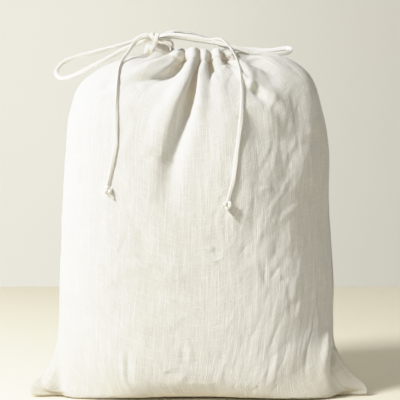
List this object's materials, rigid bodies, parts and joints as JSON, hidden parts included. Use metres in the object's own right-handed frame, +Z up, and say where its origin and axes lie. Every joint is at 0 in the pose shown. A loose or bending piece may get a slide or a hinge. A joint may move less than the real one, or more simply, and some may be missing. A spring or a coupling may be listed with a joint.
{
  "type": "drawstring storage bag",
  "caption": "Filled linen drawstring bag standing upright, its hem gathered into pleats and tied in a bow with two hanging ends.",
  "frame": {"origin": "middle of the two panels' box, on the surface that the bag stands on", "axes": "+Z up towards the hem, +X to the right across the front, +Y to the back"},
  "size_m": [0.3361, 0.1516, 0.3693],
  "materials": {
    "linen": "undyed ivory linen, plain weave with thick and thin threads, washed and softly creased",
    "tie": "the same linen cut into a narrow strip, folded and edge-stitched"
  },
  "bodies": {
    "root": {"front_panel": "linen", "back_panel": "linen", "lead_left": "tie", "lead_right": "tie", "loop_left": "tie", "loop_right": "tie", "tail_left": "tie", "tail_right": "tie", "bow_knot": "tie", "end_knot_left": "tie", "end_knot_right": "tie"}
  },
  "joints": []
}
